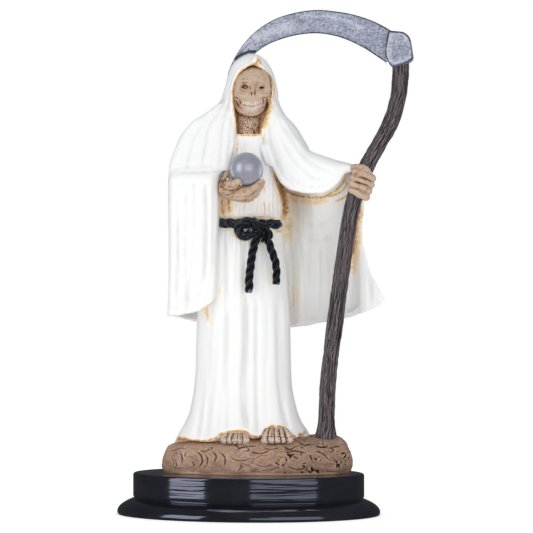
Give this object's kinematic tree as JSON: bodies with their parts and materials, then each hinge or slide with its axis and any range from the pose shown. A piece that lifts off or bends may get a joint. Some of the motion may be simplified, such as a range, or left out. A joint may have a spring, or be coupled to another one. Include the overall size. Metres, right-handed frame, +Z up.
{
  "type": "santa muerte figure",
  "caption": "Hooded skeleton saint in a white robe holding a silver ball and a scythe, on a rocky mound and a black oval plinth.",
  "frame": {"origin": "centre of the plinth's underside", "axes": "+Z up along the standing figure, -Y towards the viewer that the figure faces, +X towards the scythe"},
  "size_m": [0.1344, 0.0804, 0.2285],
  "materials": {
    "plinth": "black gloss lacquer",
    "figure": "white painted cast resin with an orange-brown wash, bone-coloured face, hands and feet",
    "scythe": "cast resin painted as dark grained wood, blade and ferrule in silver paint",
    "ball": "silver metallic paint"
  },
  "bodies": {
    "root": {"plinth": "plinth", "figure": "figure", "scythe": "scythe", "ball": "ball"}
  },
  "joints": []
}
